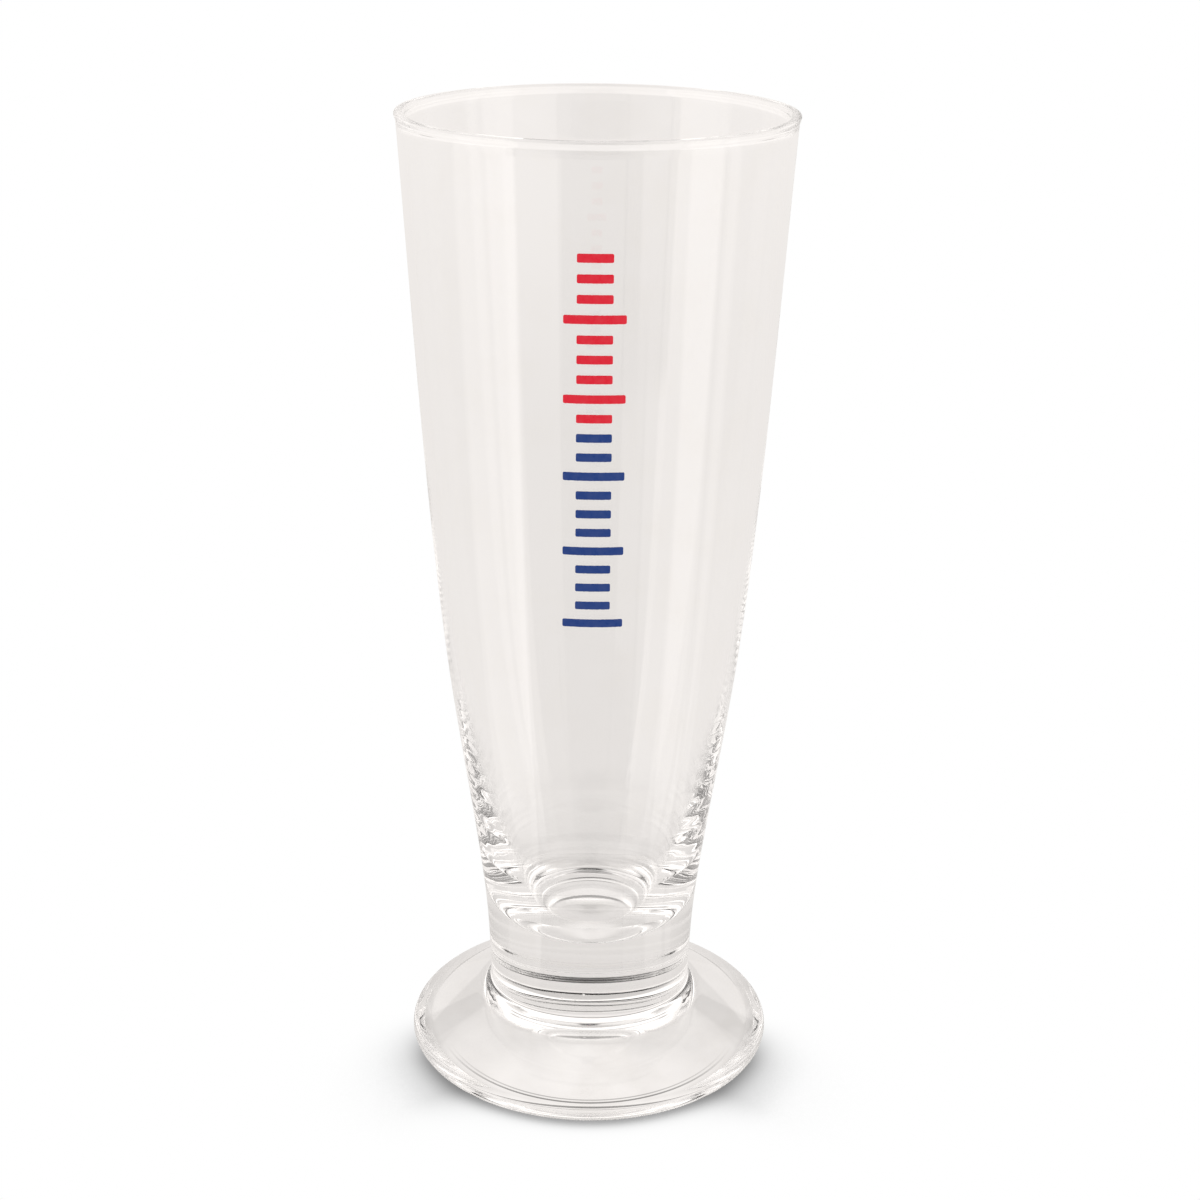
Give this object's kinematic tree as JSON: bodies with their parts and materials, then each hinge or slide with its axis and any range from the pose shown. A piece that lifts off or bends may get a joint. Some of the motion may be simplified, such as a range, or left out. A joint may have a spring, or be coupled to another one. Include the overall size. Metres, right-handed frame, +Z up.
{
  "type": "pilsner glass",
  "caption": "Tall flared footed beer glass: clear thick-based bowl on a domed round foot, with a printed red and blue fill scale on the front.",
  "frame": {"origin": "centre of the flat ring on which the glass stands, at table level", "axes": "+Z up along the axis of the glass, -Y towards the side that carries the printed scale"},
  "size_m": [0.0702, 0.0702, 0.182],
  "materials": {
    "clear_glass": "clear soda-lime glass, fire-polished",
    "blue_enamel": "opaque fired enamel, glossy",
    "red_enamel": "opaque fired enamel, glossy"
  },
  "bodies": {
    "root": {"bowl": "clear_glass", "foot": "clear_glass", "blue_scale": "blue_enamel", "red_scale": "red_enamel"}
  },
  "joints": []
}
